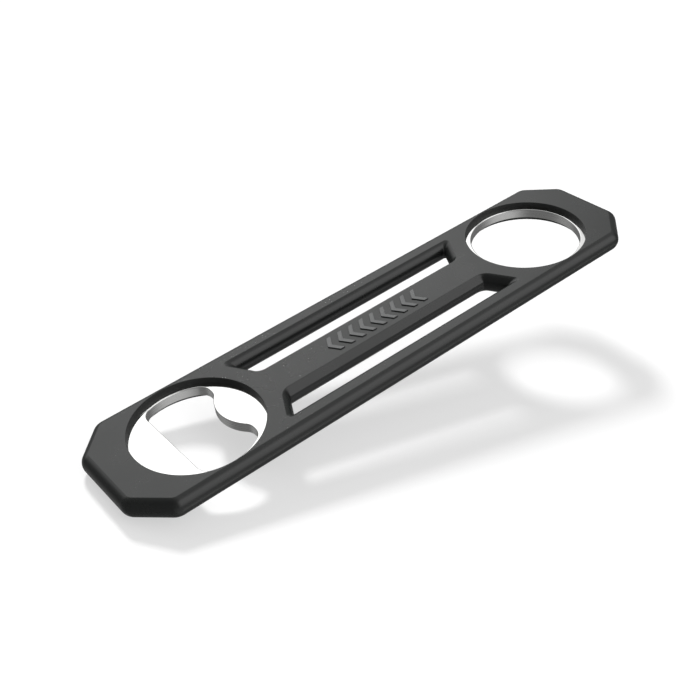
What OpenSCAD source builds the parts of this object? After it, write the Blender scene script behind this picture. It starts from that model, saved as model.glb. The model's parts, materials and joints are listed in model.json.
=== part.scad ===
// Flat two-ended bottle opener. A steel blade, with a cap mouth at one end and a
// finger ring at the other, lies between two moulded half shells of a slotted grip.
// X runs along the bar with the mouth at -X, Z is up, and the bar lies on z = 0.

/* [Grip] */
// Overall length of the grip
grip_length = 180; // [170:1:200]
// Overall width of the grip at its bulged edges
grip_width = 42.1; // [41:0.1:46]
// Thickness of the grip, both shells together
grip_thickness = 6.4; // [6:0.1:8]
// Length cut off each corner, along both sides
corner_cut = 9.6; // [6:0.2:12]
// Plan radius that eases the eight outer corners
corner_radius = 4.5; // [3.5:0.5:6]
// How far the outer edges bulge out past the flat faces
edge_bulge = 2.35; // [1.5:0.05:2.5]

/* [Cover holes] */
// Distance of both round holes from the middle of the bar
hole_offset = 61.1; // [60:0.1:62.5]
// Radius of the hole in the shells over the mouth and the ring
cover_hole_r = 18.5; // [18:0.1:19]

/* [Slots] */
// Distance from the centre line to the slots' inner walls
slot_inner = 7; // [6.5:0.1:7.5]
// Distance from the centre line to the slots' outer walls
slot_outer = 13.8; // [12:0.1:15]
// Half length of a slot at its inner wall
slot_reach = 36; // [25:0.1:37]
// How far the slots lengthen for each millimetre outwards
slot_slant = 0.54; // [0:0.02:0.6]
// Plan radius of the slots' corners at mid height
slot_corner_r = 0.5; // [0.3:0.1:2]
// How far the slots' outer and end walls bulge out past the flat faces
slot_bulge = 2.1; // [1.5:0.1:2.3]
// Width of the chamfers along the slots' inner walls
bar_chamfer = 1.7; // [1.3:0.1:2]
// Height of the plain wall between those chamfers
bar_wall = 2.3; // [1:0.1:2.8]

/* [Blade] */
// Thickness of the steel blade
blade_thickness = 3; // [2.5:0.1:4]
// Distance from the grip's outer wall in to the blade's edge
blade_inset = 1.5; // [1.3:0.1:1.8]
// Wall that the shells leave between a slot and the blade
slot_wall = 1.6; // [1.3:0.1:2]
// Radius of the finger ring
ring_r = 16.8; // [16:0.1:17.5]

/* [Mouth] */
// Radius of the round sides of the mouth
mouth_r = 16.8; // [16.5:0.1:17.5]
// Distance from the mouth's centre to its straight fulcrum edge
fulcrum_x = 7.9; // [7:0.1:9]
// Distance from the mouth's centre to the wall behind the tooth
tooth_wall_x = 10.9; // [10:0.1:12]
// Distance from the mouth's centre to the tip of the tooth
tooth_tip_x = 7.3; // [6.5:0.1:8]
// Radius of the tooth's round nose
tooth_r = 12; // [8:0.5:14]
// Radius of the mouth's inside corners
mouth_corner_r = 4; // [2:0.1:4.2]

/* [Pins] */
// Radius of the moulded pins that locate the shells and the blade
pin_r = 1.5; // [1:0.1:1.8]
// Clearance around each pin in the blade
pin_clearance = 0.1; // [0.05:0.05:0.2]
// Depth of each pin in the upper shell
pin_depth = 0.7; // [0.5:0.1:0.9]
// Distance of the end pins from the middle of the bar
end_pin_x = 84.5; // [84:0.1:85]
// Distance of the inner pins from the middle of the bar
inner_pin_x = 38.5; // [30:0.5:39]

/* [Grip ribs] */
// Number of raised chevron ribs on the centre bar
rib_count = 9; // [3:2:11]
// Distance from one rib to the next
rib_pitch = 3.9; // [3.2:0.1:5]
// Width of a rib along the bar
rib_width = 1.5; // [1:0.1:2]
// Length of the rib row across the bar
rib_span = 6.6; // [4:0.1:8]
// How far the middle of a rib leads its ends
rib_lead = 2; // [1:0.1:3]
// Height of the ribs above the grip
rib_height = 0.3; // [0.2:0.05:0.6]

/* [Hidden] */
$fn = 96;
arc_step = 15;
edge_steps = 5;
rib_root = 0.4;
over = 1;
half = grip_thickness / 2;
blade_half = blade_thickness / 2;
corner_tangent = tan(67.5);

// Corner arcs of a plan outline: each is [x, y, first angle, last angle], in counter-clockwise order.
// A corner at p with the given in and out directions takes an arc that starts square to the first.
function octagon(inset) = let (
        x = grip_length / 2 - inset, y = grip_width / 2 - inset,
        cut = corner_cut - inset * (2 - sqrt(2)))
    [[x, cut - y], [x, y - cut], [x - cut, y], [cut - x, y],
     [-x, y - cut], [-x, cut - y], [cut - x, -y], [x - cut, -y]];

function grip_arcs() = let (
        x = grip_length / 2 - corner_radius, y = grip_width / 2 - corner_radius,
        near = corner_cut - corner_radius + corner_radius / corner_tangent)
    [[x, y - near, 0], [x - near, y, 45], [near - x, y, 90], [-x, y - near, 135],
     [-x, near - y, 180], [near - x, -y, 225], [x - near, -y, 270], [x, near - y, 315]];

function grip_ring(inset) = let (r = corner_radius - inset)
    [for (c = grip_arcs(), a = [c[2] : arc_step / 2 : c[2] + 45])
        [c[0] + r * cos(a), c[1] + r * sin(a)]];

// A slot on the +Y side, grown outwards. Its end walls lean out at the slant angle.
// The rim's inner corners are rounder than its outer ones.
slant_angle = atan(slot_slant);

function slot_end(y, r, growth) =
    slot_reach + slot_slant * (y - slot_inner) + (growth - r) / cos(slant_angle);

function slot_arcs(growth, inner_growth) = let (
        r_in = slot_corner_r + growth + inner_growth, r_out = slot_corner_r + growth / 3,
        y_in = slot_inner - inner_growth + r_in, y_out = slot_outer + growth - r_out,
        x_in = slot_end(y_in, r_in, growth), x_out = slot_end(y_out, r_out, growth))
    [[x_in, y_in, r_in, -90, -slant_angle], [x_out, y_out, r_out, -slant_angle, 90],
     [-x_out, y_out, r_out, 90, 180 + slant_angle], [-x_in, y_in, r_in, 180 + slant_angle, 270]];

function slot_ring(growth, inner_growth) = [for (c = slot_arcs(growth, inner_growth), i = [0 : 6])
    let (a = c[3] + (c[4] - c[3]) * i / 6) [c[0] + c[2] * cos(a), c[1] + c[2] * sin(a)]];

// Inward step of a bulged edge at height z above the parting plane. It is the full bulge at the flat face.
function bulge_step(bulge, z) = let (r = (half * half + bulge * bulge) / (2 * bulge))
    r - sqrt(r * r - z * z);

// The same for the centre bar's edge: plain up to the chamfer
function chamfer_step(z) = max(0, z - bar_wall / 2) * bar_chamfer / (half - bar_wall / 2);

edge_heights = [for (i = [0 : edge_steps]) half * sin(90 * i / edge_steps)];
slot_heights = concat([0], [for (i = [0 : edge_steps]) let (low = bar_wall / 2)
    low + (half - low) * sin(90 * i / edge_steps)]);

// Solid skin over plan outlines of equal length, from the lowest to the highest
module stacked(outlines, heights) {
    n = len(outlines[0]);
    last = len(outlines) - 1;
    points = [for (k = [0 : last], p = outlines[k]) [p[0], p[1], heights[k]]];
    sides = [for (k = [0 : last - 1], i = [0 : n - 1]) let (j = (i + 1) % n)
        [k * n + i, (k + 1) * n + i, (k + 1) * n + j, k * n + j]];
    bottom = [for (i = [0 : n - 1]) i];
    top = [for (i = [n - 1 : -1 : 0]) last * n + i];
    polyhedron(points, concat([bottom], sides, [top]));
}

// Half of the grip's outer form, from the parting plane up
module half_form() {
    stacked([for (z = edge_heights) grip_ring(bulge_step(edge_bulge, z))], edge_heights);
}

// What a +Y slot takes out of half of the grip, with its shaped rim
module half_slot() {
    rim = [for (z = slot_heights) slot_ring(bulge_step(slot_bulge, z), chamfer_step(z))];
    stacked(concat([slot_ring(0, 0)], rim, [slot_ring(slot_bulge, bar_chamfer)]),
            concat([-over], slot_heights, [half + over]));
}

module at_both_sides() {
    children();
    mirror([0, 1, 0]) children();
}

module at_both_holes() {
    for (side = [-1, 1]) translate([side * hole_offset, 0, 0]) children();
}

module at_pins() {
    for (x = [-end_pin_x, -inner_pin_x, 0, inner_pin_x, end_pin_x]) translate([x, 0, 0]) children();
}

// Plan of the blade before its mouth, ring and pin holes are punched
module blade_blank() {
    difference() {
        polygon(octagon(blade_inset));
        at_both_sides() polygon(slot_ring(slot_wall, slot_wall));
    }
}

// Plan of the cap mouth about its own centre, with the tooth on the +X side
module mouth_plan() {
    offset(r = mouth_corner_r, $fn = 48) offset(delta = -mouth_corner_r) difference() {
        intersection() {
            circle(mouth_r);
            translate([-fulcrum_x, -mouth_r]) square([fulcrum_x + tooth_wall_x, 2 * mouth_r]);
        }
        translate([tooth_tip_x + tooth_r, 0]) circle(tooth_r);
    }
}

// One shell, drawn from the parting plane up
module shell() {
    difference() {
        half_form();
        translate([0, 0, -over]) linear_extrude(blade_half + over) blade_blank();
        at_both_holes() translate([0, 0, -over]) cylinder(r = cover_hole_r, h = half + 2 * over);
        at_both_sides() half_slot();
    }
}

module ribs() {
    plan = [[rib_lead, rib_span / 2], [rib_lead + rib_width, rib_span / 2], [rib_width, 0],
            [rib_lead + rib_width, -rib_span / 2], [rib_lead, -rib_span / 2], [0, 0]];
    first = -(rib_pitch * (rib_count - 1) + rib_width + rib_lead) / 2;
    for (i = [0 : rib_count - 1]) translate([first + i * rib_pitch, 0, grip_thickness - rib_root])
        linear_extrude(rib_height + rib_root) polygon(plan);
}

module steel_blade() {
    color("silver") translate([0, 0, half - blade_half]) difference() {
        linear_extrude(blade_thickness) difference() {
            blade_blank();
            translate([-hole_offset, 0]) mouth_plan();
        }
        translate([hole_offset, 0, -over]) cylinder(r = ring_r, h = blade_thickness + 2 * over);
        at_pins() translate([0, 0, -over]) cylinder(r = pin_r + pin_clearance, h = blade_thickness + 2 * over);
    }
}

module lower_shell() {
    color("#2b2c2b") {
        translate([0, 0, half]) mirror([0, 0, 1]) shell();
        at_pins() translate([0, 0, half - blade_half]) cylinder(r = pin_r, h = blade_thickness + pin_depth);
    }
}

module upper_shell() {
    color("#343635") difference() {
        union() {
            translate([0, 0, half]) shell();
            ribs();
        }
        at_pins() translate([0, 0, half]) cylinder(r = pin_r, h = blade_half + pin_depth);
    }
}

steel_blade();
lower_shell();
upper_shell();
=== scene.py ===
"""Looks of the bar blade bottle opener: moulded half shells, polished steel, floor, light and camera."""

import json
import math

import bmesh
import bpy
from mathutils import Matrix, Vector
from mathutils.geometry import tessellate_polygon


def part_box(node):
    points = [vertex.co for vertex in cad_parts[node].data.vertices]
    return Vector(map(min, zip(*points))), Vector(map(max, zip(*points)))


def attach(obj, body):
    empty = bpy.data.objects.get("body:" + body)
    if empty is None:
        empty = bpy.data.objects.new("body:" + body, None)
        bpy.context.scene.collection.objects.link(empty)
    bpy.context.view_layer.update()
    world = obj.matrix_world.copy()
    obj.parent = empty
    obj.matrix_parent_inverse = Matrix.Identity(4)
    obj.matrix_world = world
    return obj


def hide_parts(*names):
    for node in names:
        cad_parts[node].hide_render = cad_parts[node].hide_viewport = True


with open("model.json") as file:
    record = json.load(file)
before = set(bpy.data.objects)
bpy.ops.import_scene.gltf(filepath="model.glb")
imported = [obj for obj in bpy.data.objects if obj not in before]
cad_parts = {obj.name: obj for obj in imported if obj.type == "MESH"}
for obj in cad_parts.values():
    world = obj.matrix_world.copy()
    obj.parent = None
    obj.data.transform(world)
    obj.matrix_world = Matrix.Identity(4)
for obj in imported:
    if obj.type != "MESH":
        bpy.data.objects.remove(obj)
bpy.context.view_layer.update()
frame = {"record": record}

# Sizes that the frame gives, in metres
MOUNTS = {mount["name"]: mount for mount in frame["record"]["mounts"]}
HOLE_X = MOUNTS["finger_ring"]["pos_m"][0]
RING_R = MOUNTS["finger_ring"]["dims"]["r_mm"] / 1000
HALF_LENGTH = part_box("upper_shell")[1].x
HALF_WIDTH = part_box("upper_shell")[1].y
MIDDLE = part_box("upper_shell")[0].z
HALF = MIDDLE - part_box("lower_shell")[0].z
RIB_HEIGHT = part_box("upper_shell")[1].z - MIDDLE - HALF
BLADE_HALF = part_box("steel_blade")[1].z - MIDDLE
BLADE_INSET = HALF_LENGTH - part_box("steel_blade")[1].x

# The part's other driving sizes, in metres
CORNER_CUT = 0.0096
CORNER_R = 0.0045
EDGE_BULGE = 0.00235
COVER_R = 0.0185
SLOT_INNER = 0.007
SLOT_OUTER = 0.0138
SLOT_REACH = 0.036
SLOT_SLANT = 0.54
SLOT_CORNER_R = 0.0005
SLOT_BULGE = 0.0021
BAR_CHAMFER = 0.0017
BAR_WALL = 0.0023
SLOT_WALL = 0.0016
MOUTH_R = 0.0168
FULCRUM_X = 0.0079
TOOTH_WALL_X = 0.0109
TOOTH_TIP_X = 0.0073
TOOTH_R = 0.012
MOUTH_CORNER_R = 0.004
PIN_R = 0.0015
PIN_CLEARANCE = 0.0001
PIN_DEPTH = 0.0007
PIN_XS = [-0.0845, -0.0385, 0, 0.0385, 0.0845]
RIB_COUNT = 9
RIB_PITCH = 0.0039
RIB_WIDTH = 0.0015
RIB_SPAN = 0.0066
RIB_LEAD = 0.002

# Finer edges than the CAD model's, in metres
PARTING_CHAMFER = 0.00004
CREASE_R = 0.0005
BAR_CREASE_R = 0.0003
RIM_R = 0.00015
RIB_EDGE_R = 0.00012
STEEL_EDGE_R = 0.00028

# Steps in curves
CORNER_STEPS = 12
CIRCLE_STEPS = 160
BULGE_STEPS = 12
CREASE_STEPS = 4
RIM_STEPS = 4

SHARP_ANGLE = math.radians(38)

# Camera, about the middle of the bar's underside
CAMERA_AZIMUTH = math.radians(-34.536)
CAMERA_ELEVATION = math.radians(38.369)
CAMERA_ROLL = math.radians(-7.265)
CAMERA_DISTANCE = 0.308746
CAMERA_PAN = (-0.008262, -0.002514)
CAMERA_LENS = 54.9

CAMERA_CLIP = 0.01

# The floor, which is not parallel to the bar, and the backdrop. Each has a glow of its own.
FLOOR_NORMAL = (0.163, -0.026, 0.986)
FLOOR_DROP = 0.0146
FLOOR_HALF_SIZE = 2.5
FLOOR_GLOW = 0.57
BACKDROP_R = 2.0
BACKDROP_HEIGHTS = (-1.0, 2.5)
BACKDROP_GLOW = 1.05

# The lamp that casts the bar's shadow
LAMP_DIRECTION = (0.380, 0.715, 0.586)
LAMP_ANGLE = math.radians(11)
LAMP_POWER = 5.0

# The world: an even glow, a glow overhead on the +X side, and soft panels in degrees.
# A panel is its azimuths, its elevations, the softness of its edges and its radiance.
ROOM_RADIANCE = 0.16
OVERHEAD_RADIANCE = 0.6
OVERHEAD_ELEVATIONS = (30, 150)
OVERHEAD_SOFTNESS = 50
OVERHEAD_FADE = 0.35
PANELS = [((41, 123), (16, 55), 16, 1.05),
          ((-93, -30), (2, 50), 18, 1.25),
          ((-124, -50), (-62, 2), 44, 0.38),
          ((105, 150), (-60, -12), 16, 0.14)]


# ---------------------------------------------------------------- outlines

def arc(centre, radius, start, end, steps):
    """Points on an arc between two angles in degrees, both ends included."""
    angles = [math.radians(start + (end - start) * i / steps) for i in range(steps + 1)]
    return [(centre[0] + radius * math.cos(a), centre[1] + radius * math.sin(a)) for a in angles]


def circle(x, radius, steps=CIRCLE_STEPS):
    return arc((x, 0), radius, 0, 360 - 360 / steps, steps - 1)


def grip_ring(inset):
    """The grip's outline, moved inwards."""
    x = HALF_LENGTH - CORNER_R
    y = HALF_WIDTH - CORNER_R
    near = CORNER_CUT - CORNER_R + CORNER_R * math.tan(math.radians(22.5))
    corners = [(x, y - near), (x - near, y), (near - x, y), (-x, y - near),
               (-x, near - y), (near - x, -y), (x - near, -y), (x, near - y)]
    points = []
    for i, corner in enumerate(corners):
        points += arc(corner, CORNER_R - inset, 45 * i, 45 * i + 45, CORNER_STEPS)
    return points


def blade_ring():
    """The blade's sharp octagon."""
    x = HALF_LENGTH - BLADE_INSET
    y = HALF_WIDTH - BLADE_INSET
    cut = CORNER_CUT - BLADE_INSET * (2 - math.sqrt(2))
    return [(x, cut - y), (x, y - cut), (x - cut, y), (cut - x, y),
            (-x, y - cut), (-x, cut - y), (cut - x, -y), (x - cut, -y)]


def slot_ring(growth, inner_growth, side):
    """A slot's outline on the +Y side or the -Y side, moved outwards. Its inner wall has its own growth."""
    slant = math.atan(SLOT_SLANT)
    turn = math.degrees(slant)
    r_in = SLOT_CORNER_R + growth + inner_growth
    r_out = SLOT_CORNER_R + growth / 3
    y_in = SLOT_INNER - inner_growth + r_in
    y_out = SLOT_OUTER + growth - r_out
    x_in = SLOT_REACH + SLOT_SLANT * (y_in - SLOT_INNER) + (growth - r_in) / math.cos(slant)
    x_out = SLOT_REACH + SLOT_SLANT * (y_out - SLOT_INNER) + (growth - r_out) / math.cos(slant)
    points = arc((x_in, y_in), r_in, -90, -turn, CORNER_STEPS)
    points += arc((x_out, y_out), r_out, -turn, 90, CORNER_STEPS)
    points += arc((-x_out, y_out), r_out, 90, 180 + turn, CORNER_STEPS)
    points += arc((-x_in, y_in), r_in, 180 + turn, 270, CORNER_STEPS)
    return [(x, side * y) for x, y in points]


def mouth_ring(growth):
    """The cap mouth's outline, moved outwards: round sides, a flat fulcrum edge and a tooth."""
    small = MOUTH_R - MOUTH_CORNER_R
    left = (MOUTH_CORNER_R - FULCRUM_X, math.sqrt(small ** 2 - (FULCRUM_X - MOUTH_CORNER_R) ** 2))
    wall_x = TOOTH_WALL_X - MOUTH_CORNER_R
    right = (wall_x, math.sqrt(small ** 2 - wall_x ** 2))
    tooth_x = TOOTH_TIP_X + TOOTH_R
    notch = (wall_x, math.sqrt((TOOTH_R + MOUTH_CORNER_R) ** 2 - (tooth_x - wall_x) ** 2))
    turn = math.degrees(math.atan2(notch[1], tooth_x - wall_x))
    right_turn = math.degrees(math.atan2(right[1], right[0]))
    left_turn = math.degrees(math.atan2(left[1], left[0]))
    corner = MOUTH_CORNER_R + growth
    upper = arc((tooth_x, 0), TOOTH_R - growth, 180, 180 - turn, CORNER_STEPS)
    upper += arc(notch, corner, -turn, 0, CORNER_STEPS)
    upper += arc(right, corner, 0, right_turn, CORNER_STEPS)
    upper += arc((0, 0), MOUTH_R + growth, right_turn, left_turn, 4 * CORNER_STEPS)[1:-1]
    upper += arc(left, corner, left_turn, 180, CORNER_STEPS)
    lower = [(x, -y) for x, y in reversed(upper[1:])]
    return [(x - HOLE_X, y) for x, y in upper + lower]


def rib_ring(index, inset):
    """A chevron rib's outline, moved inwards."""
    first = -(RIB_PITCH * (RIB_COUNT - 1) + RIB_WIDTH + RIB_LEAD) / 2
    half_span = RIB_SPAN / 2
    shift = inset * math.hypot(RIB_LEAD, half_span) / half_span
    y = half_span - inset
    lead = RIB_LEAD * y / half_span
    left = first + index * RIB_PITCH + shift
    right = left + RIB_WIDTH - 2 * shift
    return [(right, 0), (right + lead, y), (left + lead, y),
            (left, 0), (left + lead, -y), (right + lead, -y)]


# ---------------------------------------------------------------- edge profiles: [step off the edge, height]

def bulge_radius(bulge):
    return (HALF ** 2 + bulge ** 2) / (2 * bulge)


def bulge_profile(bulge):
    """From the parting plane up a bulged edge and over a small crease to the flat face."""
    radius = bulge_radius(bulge)
    start = math.asin(PARTING_CHAMFER / radius)
    end = math.asin((HALF - CREASE_R) / (radius - CREASE_R))
    steps = [(PARTING_CHAMFER, 0)]
    for i in range(BULGE_STEPS + 1):
        a = start + (end - start) * i / BULGE_STEPS
        steps.append((radius * (1 - math.cos(a)), radius * math.sin(a)))
    for i in range(1, CREASE_STEPS + 1):
        a = end + (math.pi / 2 - end) * i / CREASE_STEPS
        inward = radius - (radius - CREASE_R) * math.cos(end) - CREASE_R * math.cos(a)
        steps.append((inward, HALF - CREASE_R * (1 - math.sin(a))))
    return steps


def bar_step(height):
    """The centre bar's edge: a plain wall, then a chamfer that rolls over a crease to the flat face."""
    wall = BAR_WALL / 2
    tilt = math.atan2(BAR_CHAMFER, HALF - wall)
    if height > HALF - BAR_CREASE_R * (1 - math.sin(tilt)):
        end = BAR_CHAMFER + BAR_CREASE_R * math.tan((math.pi / 2 - tilt) / 2)
        return end - math.sqrt(BAR_CREASE_R ** 2 - (height - HALF + BAR_CREASE_R) ** 2)
    return max(PARTING_CHAMFER - height, 0) + max(height - wall, 0) * math.tan(tilt)


def slot_profile():
    """Outer step, inner step and height up a slot's walls, with a row where the chamfer starts."""
    wall = BAR_WALL / 2
    radius = bulge_radius(SLOT_BULGE)
    rows = bulge_profile(SLOT_BULGE) + [(radius - math.sqrt(radius ** 2 - wall ** 2), wall)]
    return [(step, bar_step(height), height) for step, height in sorted(rows, key=lambda row: row[1])]


def rounded_profile(top, radius, steps=RIM_STEPS):
    """A small quarter round that ends at the given height."""
    angles = [math.pi / 2 * i / steps for i in range(steps + 1)]
    return [(radius * (1 - math.cos(a)), top - radius * (1 - math.sin(a))) for a in angles]


# ---------------------------------------------------------------- meshes

class Solid:
    """A closed mesh made of swept walls, and of flat faces that span between their loops."""

    def __init__(self, sign=1):
        self.mesh = bmesh.new()
        self.sign = sign

    def loop(self, points, height):
        z = MIDDLE + self.sign * height
        return [self.mesh.verts.new((x, y, z)) for x, y in points]

    def sweep(self, outlines, heights):
        """Walls between successive outlines of equal length. Gives back the first and last loops."""
        loops = [self.loop(points, height) for points, height in zip(outlines, heights)]
        for low, high in zip(loops, loops[1:]):
            for i in range(len(low)):
                self.mesh.faces.new((low[i - 1], low[i], high[i], high[i - 1]))
        return loops[0], loops[-1]

    def fill(self, outer, holes=()):
        """A flat face inside one loop and outside the others."""
        verts = [v for loop in (outer, *holes) for v in loop]
        flat = [[Vector((v.co.x * 1000, v.co.y * 1000, 0)) for v in loop] for loop in (outer, *holes)]
        for corners in tessellate_polygon(flat):
            self.mesh.faces.new([verts[i] for i in corners])

    def finish(self, name):
        bmesh.ops.recalc_face_normals(self.mesh, faces=self.mesh.faces)
        data = bpy.data.meshes.new(name)
        self.mesh.to_mesh(data)
        self.mesh.free()
        data.shade_smooth()
        data.set_sharp_from_angle(angle=SHARP_ANGLE)
        piece = bpy.data.objects.new(name, data)
        bpy.context.scene.collection.objects.link(piece)
        weighted = piece.modifiers.new("face_normals", "WEIGHTED_NORMAL")
        weighted.keep_sharp = True
        return piece


def make_shell(name, sign, with_ribs):
    """A moulded half shell around the blade's pocket. The upper has ribs and sockets, the lower pins."""
    solid = Solid(sign)
    bulge = bulge_profile(EDGE_BULGE)
    parting, crease = solid.sweep([grip_ring(step) for step, _ in bulge], [h for _, h in bulge])
    pocket, pocket_top = solid.sweep([blade_ring()] * 2, [0, BLADE_HALF])
    solid.fill(parting, [pocket])
    face_holes = []
    pocket_holes = []
    slot = slot_profile()
    for side in (1, -1):
        rings = [slot_ring(out, inner, side) for out, inner, _ in slot]
        low, high = solid.sweep(rings, [height for _, _, height in slot])
        wall, wall_top = solid.sweep([slot_ring(SLOT_WALL, SLOT_WALL, side)] * 2, [0, BLADE_HALF])
        solid.fill(wall, [low])
        face_holes.append(high)
        pocket_holes.append(wall_top)
    rim = [(0, BLADE_HALF)] + rounded_profile(HALF, RIM_R)
    for x in (-HOLE_X, HOLE_X):
        low, high = solid.sweep([circle(x, COVER_R + step) for step, _ in rim], [h for _, h in rim])
        face_holes.append(high)
        pocket_holes.append(low)
    for x in PIN_XS:
        end = BLADE_HALF + PIN_DEPTH if with_ribs else -BLADE_HALF - PIN_DEPTH
        low, high = solid.sweep([circle(x, PIN_R, 32)] * 2, [BLADE_HALF, end])
        pocket_holes.append(low)
        solid.fill(high)
    solid.fill(pocket_top, pocket_holes)
    for index in range(RIB_COUNT if with_ribs else 0):
        edge = [(0, HALF)] + rounded_profile(HALF + RIB_HEIGHT, RIB_EDGE_R)
        low, high = solid.sweep([rib_ring(index, step) for step, _ in edge], [h for _, h in edge])
        face_holes.append(low)
        solid.fill(high)
    solid.fill(crease, face_holes)
    return solid.finish(name)


def make_blade(name):
    """The stamped plate, with its punched rims slightly rounded on both faces."""
    solid = Solid()
    upper = rounded_profile(BLADE_HALF, STEEL_EDGE_R)
    rim = [(step, -height) for step, height in reversed(upper)] + upper
    heights = [height for _, height in rim]
    bottom, top = solid.sweep([blade_ring()] * 2, [-BLADE_HALF, BLADE_HALF])
    rings = [[mouth_ring(step) for step, _ in rim], [circle(HOLE_X, RING_R + step) for step, _ in rim]]
    loops = [solid.sweep(outlines, heights) for outlines in rings]
    for side in (1, -1):
        loops.append(solid.sweep([slot_ring(SLOT_WALL, SLOT_WALL, side)] * 2, [-BLADE_HALF, BLADE_HALF]))
    for x in PIN_XS:
        loops.append(solid.sweep([circle(x, PIN_R + PIN_CLEARANCE, 32)] * 2, [-BLADE_HALF, BLADE_HALF]))
    solid.fill(bottom, [low for low, _ in loops])
    solid.fill(top, [high for _, high in loops])
    return solid.finish(name)


# ---------------------------------------------------------------- materials

class Graph:
    """Short calls for adding and linking shader nodes."""

    def __init__(self, tree):
        self.tree = tree

    def plug(self, socket, value):
        if isinstance(value, bpy.types.NodeSocket):
            self.tree.links.new(value, socket)
        else:
            socket.default_value = value

    def node(self, kind, inputs=(), **settings):
        made = self.tree.nodes.new("ShaderNode" + kind)
        for key, value in settings.items():
            setattr(made, key, value)
        for key, value in dict(inputs).items():
            self.plug(made.inputs[key], value)
        return made

    def remap(self, value, low, high, to_low, to_high, interpolation="LINEAR"):
        sockets = {"Value": value, "From Min": low, "From Max": high, "To Min": to_low, "To Max": to_high}
        return self.node("MapRange", sockets, interpolation_type=interpolation).outputs["Result"]

    def math(self, operation, a, b):
        return self.node("Math", {0: a, 1: b}, operation=operation).outputs["Value"]

    def mix(self, share, a, b):
        made = self.node("Mix", data_type="RGBA")
        self.plug(made.inputs["Factor"], share)
        self.plug(made.inputs[6], a)
        self.plug(made.inputs[7], b)
        return made.outputs[2]


class Surface(Graph):
    """A node material around one Principled shader."""

    def __init__(self, name):
        self.material = bpy.data.materials.new(name)
        self.material.use_nodes = True
        super().__init__(self.material.node_tree)
        self.shader = self.tree.nodes["Principled BSDF"]

    def set(self, **values):
        for key, value in values.items():
            self.plug(self.shader.inputs[key.replace("_", " ")], value)

    def place(self, scale=(1, 1, 1)):
        """Object coordinates in metres, stretched by a scale."""
        at = self.node("TexCoord").outputs["Object"]
        return self.node("Mapping", {"Vector": at, "Scale": scale}).outputs["Vector"]

    def noise(self, scale, detail=3, roughness=0.55, stretch=(1, 1, 1)):
        sockets = {"Vector": self.place(stretch), "Scale": scale, "Detail": detail, "Roughness": roughness}
        return self.node("TexNoise", sockets).outputs["Fac"]

    def bump(self, height, strength, distance, normal=None):
        sockets = {"Height": height, "Strength": strength, "Distance": distance}
        if normal is not None:
            sockets["Normal"] = normal
        return self.node("Bump", sockets).outputs["Normal"]


def in_cover_holes(surface):
    """1 on the walls of the two cover holes and 0 elsewhere."""
    at = surface.node("SeparateXYZ", {"Vector": surface.place()})
    along = surface.math("SUBTRACT", surface.math("ABSOLUTE", at.outputs["X"], 0), HOLE_X)
    along_squared = surface.math("MULTIPLY", along, along)
    across_squared = surface.math("POWER", at.outputs["Y"], 2)
    distance = surface.math("SQRT", surface.math("ADD", along_squared, across_squared), 0)
    return surface.remap(distance, COVER_R + RIM_R / 2, COVER_R + RIM_R, 1, 0)


def polymer():
    """Satin black moulding: fine spark texture, slow changes of gloss, rubbed edges, and rib tops made paler
    by a painted sheen.

    The walls of the cover holes are duller than the rest.
    """
    surface = Surface("grip_polymer")
    spark = surface.noise(scale=4200, detail=4, roughness=0.6)
    flow = surface.noise(scale=95)
    worn = surface.remap(surface.node("NewGeometry").outputs["Pointiness"], 0.53, 0.62, 0, 1)
    patches = surface.math("MULTIPLY", worn, surface.noise(scale=900))
    height = surface.node("SeparateXYZ", {"Vector": surface.place()}).outputs["Z"]
    face_z = MIDDLE + HALF
    # Painted sheen: the rib tops get a paler base colour that stands in for their gloss.
    painted_rib_sheen = surface.remap(height, face_z + RIB_HEIGHT / 3, face_z + RIB_HEIGHT * 2 / 3, 0, 1)
    base = surface.mix(flow, (0.0095, 0.0105, 0.01, 1), (0.0125, 0.0135, 0.013, 1))
    base = surface.mix(patches, base, (0.04, 0.042, 0.04, 1))
    surface.set(Base_Color=surface.mix(painted_rib_sheen, base, (0.066, 0.068, 0.068, 1)))
    gloss = surface.remap(flow, 0.3, 0.7, 0.3, 0.26)
    gloss = surface.math("SUBTRACT", gloss, surface.math("MULTIPLY", patches, 0.06))
    bored = in_cover_holes(surface)
    surface.set(Roughness=surface.math("MAXIMUM", gloss, surface.math("MULTIPLY", bored, 0.62)))
    surface.set(Normal=surface.bump(spark, strength=0.1, distance=0.00002))
    return surface.material


def steel():
    """Stainless steel: polished, finely brushed faces along X, and satin punched walls with drag lines."""
    surface = Surface("blade_steel")
    normal = surface.node("SeparateXYZ", {"Vector": surface.node("TexCoord").outputs["Normal"]})
    upright = surface.math("ABSOLUTE", normal.outputs["Z"], 0)
    face = surface.remap(upright, 0.5, 0.9, 0, 1)
    brush = surface.noise(scale=9000, stretch=(0.006, 1, 1))
    drag = surface.noise(scale=6500, stretch=(0.02, 0.02, 1))
    smudge = surface.noise(scale=140)
    face_rough = surface.remap(smudge, 0.3, 0.7, 0.07, 0.1)
    wall_rough = surface.remap(drag, 0.3, 0.7, 0.24, 0.36)
    rough = surface.node("Mix", {"Factor": face, 2: wall_rough, 3: face_rough}).outputs[0]
    grain = surface.bump(drag, surface.remap(face, 0, 1, 0.25, 0), 0.00001)
    surface.set(Base_Color=surface.mix(drag, (0.74, 0.74, 0.73, 1), (0.82, 0.82, 0.81, 1)))
    surface.set(Metallic=1.0, Roughness=rough)
    surface.set(Normal=surface.bump(brush, surface.remap(face, 0, 1, 0, 0.03), 0.000004, grain))
    return surface.material


def floor_paint():
    """Pale matt floor with a faint mottle, partly lit from within so that its shadows stay light."""
    surface = Surface("studio_floor")
    tone = surface.mix(surface.noise(scale=30), (0.295, 0.295, 0.295, 1), (0.305, 0.305, 0.305, 1))
    surface.set(Base_Color=tone, Roughness=0.9)
    surface.set(Emission_Color=(1, 1, 1, 1), Emission_Strength=FLOOR_GLOW)
    return surface.material


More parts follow.
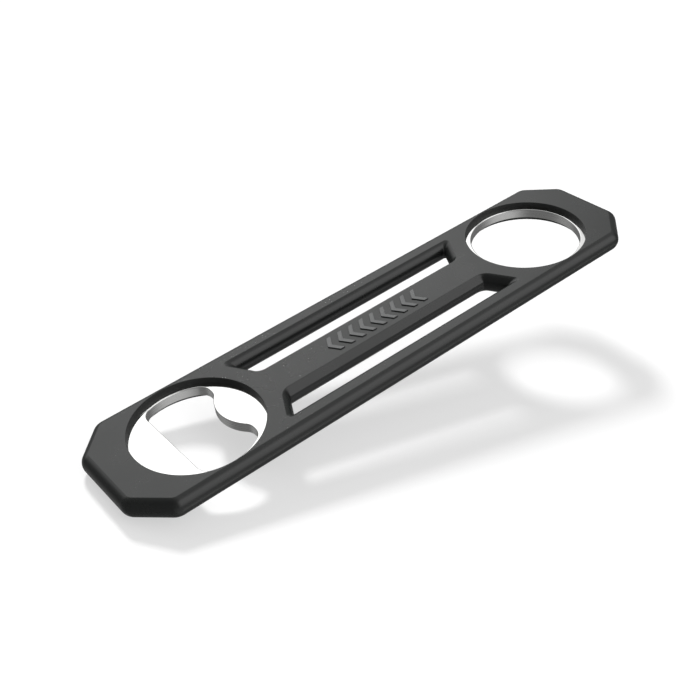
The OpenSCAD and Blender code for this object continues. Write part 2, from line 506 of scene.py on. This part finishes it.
def wall_glow():
    """Plain white glow for the backdrop."""
    surface = Surface("studio_backdrop")
    surface.set(Base_Color=(0, 0, 0, 1), Emission_Color=(1, 1, 1, 1), Emission_Strength=BACKDROP_GLOW)
    return surface.material


# ---------------------------------------------------------------- the object

def dress(piece, node, material):
    piece.data.materials.append(material)
    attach(piece, "root")
    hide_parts(node)


def build_opener():
    grip = polymer()
    dress(make_shell("grip_lower", -1, False), "lower_shell", grip)
    dress(make_shell("grip_upper", 1, True), "upper_shell", grip)
    dress(make_blade("blade"), "steel_blade", steel())


# ---------------------------------------------------------------- stage, light and camera

def link(thing):
    bpy.context.scene.collection.objects.link(thing)
    return thing


def flat_sheet(name, normal, drop, size):
    """A large square sheet with the given normal, that far below the origin."""
    up = Vector(normal).normalized()
    data = bpy.data.meshes.new(name)
    corners = [(-size, -size, 0), (size, -size, 0), (size, size, 0), (-size, size, 0)]
    data.from_pydata(corners, [], [(0, 1, 2, 3)])
    data.transform(Matrix.Translation(-up * drop) @ up.to_track_quat("Z", "Y").to_matrix().to_4x4())
    return link(bpy.data.objects.new(name, data))


def round_wall(name, radius, low, high, steps=96):
    """A tall cylindrical wall around the scene."""
    low_ring = [(x, y, low) for x, y in circle(0, radius, steps)]
    high_ring = [(x, y, high) for x, y in circle(0, radius, steps)]
    faces = [(i, (i + 1) % steps, steps + (i + 1) % steps, steps + i) for i in range(steps)]
    data = bpy.data.meshes.new(name)
    data.from_pydata(low_ring + high_ring, [], faces)
    return link(bpy.data.objects.new(name, data))


def build_stage():
    """The bar's mouth end rests on a pale floor and its ring end is raised. A white wall closes the view.

    Reflections see the world in place of both.
    """
    floor = flat_sheet("floor", FLOOR_NORMAL, FLOOR_DROP, FLOOR_HALF_SIZE)
    floor.data.materials.append(floor_paint())
    floor.visible_glossy = False
    wall = round_wall("backdrop", BACKDROP_R, *BACKDROP_HEIGHTS)
    wall.data.materials.append(wall_glow())
    wall.visible_diffuse = False
    wall.visible_glossy = False
    wall.visible_shadow = False


class Studio(Graph):
    """The world: a grey room with broad soft panels, each placed by azimuth and elevation in degrees."""

    def __init__(self):
        world = bpy.data.worlds.new("studio")
        world.use_nodes = True
        bpy.context.scene.world = world
        super().__init__(world.node_tree)
        toward = self.node("SeparateXYZ", {"Vector": self.node("TexCoord").outputs["Generated"]})
        self.x, y, z = (toward.outputs[axis] for axis in "XYZ")
        self.azimuth = self.math("ARCTAN2", y, self.x)
        self.elevation = self.math("ARCSINE", z, 0)
        self.radiance = ROOM_RADIANCE

    def soft_range(self, angle, low, high, softness):
        """1 between two angles and 0 outside, with soft ends."""
        centre = math.radians((low + high) / 2)
        half = math.radians((high - low) / 2)
        soft = math.radians(softness / 2)
        off = self.math("ABSOLUTE", self.math("SUBTRACT", angle, centre), 0)
        return self.remap(off, half - soft, half + soft, 1, 0, "SMOOTHSTEP")

    def add(self, radiance):
        self.radiance = self.math("ADD", self.radiance, radiance)

    def add_panel(self, azimuths, elevations, softness, radiance):
        across = self.soft_range(self.azimuth, *azimuths, softness)
        along = self.soft_range(self.elevation, *elevations, softness)
        self.add(self.math("MULTIPLY", self.math("MULTIPLY", across, along), radiance))

    def finish(self):
        self.plug(self.tree.nodes["Background"].inputs["Strength"], self.radiance)
        self.plug(self.tree.nodes["Background"].inputs["Color"], (1, 1, 1, 1))


def build_light():
    studio = Studio()
    room = studio.remap(studio.x, -OVERHEAD_FADE, OVERHEAD_FADE, 0, OVERHEAD_RADIANCE, "SMOOTHSTEP")
    above = studio.soft_range(studio.elevation, *OVERHEAD_ELEVATIONS, OVERHEAD_SOFTNESS)
    studio.add(studio.math("MULTIPLY", room, above))
    for panel in PANELS:
        studio.add_panel(*panel)
    studio.finish()
    data = bpy.data.lights.new("lamp", "SUN")
    data.angle = LAMP_ANGLE
    data.energy = LAMP_POWER
    lamp = link(bpy.data.objects.new("lamp", data))
    lamp.rotation_euler = Vector(LAMP_DIRECTION).to_track_quat("Z", "Y").to_euler()
    lamp.visible_glossy = False
    bpy.context.scene.view_settings.view_transform = "Standard"


def build_camera():
    back = Vector((math.sin(CAMERA_AZIMUTH) * math.cos(CAMERA_ELEVATION),
                   -math.cos(CAMERA_AZIMUTH) * math.cos(CAMERA_ELEVATION),
                   math.sin(CAMERA_ELEVATION)))
    right = Vector((math.cos(CAMERA_AZIMUTH), math.sin(CAMERA_AZIMUTH), 0))
    up = back.cross(right)
    turn = Matrix.Rotation(CAMERA_ROLL, 3, back)
    axes = Matrix((turn @ right, turn @ up, back)).transposed()
    data = bpy.data.cameras.new("camera")
    data.lens = CAMERA_LENS
    data.clip_start = CAMERA_CLIP
    camera = link(bpy.data.objects.new("camera", data))
    place = back * CAMERA_DISTANCE + right * CAMERA_PAN[0] + up * CAMERA_PAN[1]
    camera.matrix_world = Matrix.Translation(place) @ axes.to_4x4()
    bpy.context.scene.camera = camera


build_opener()
build_stage()
build_light()
build_camera()
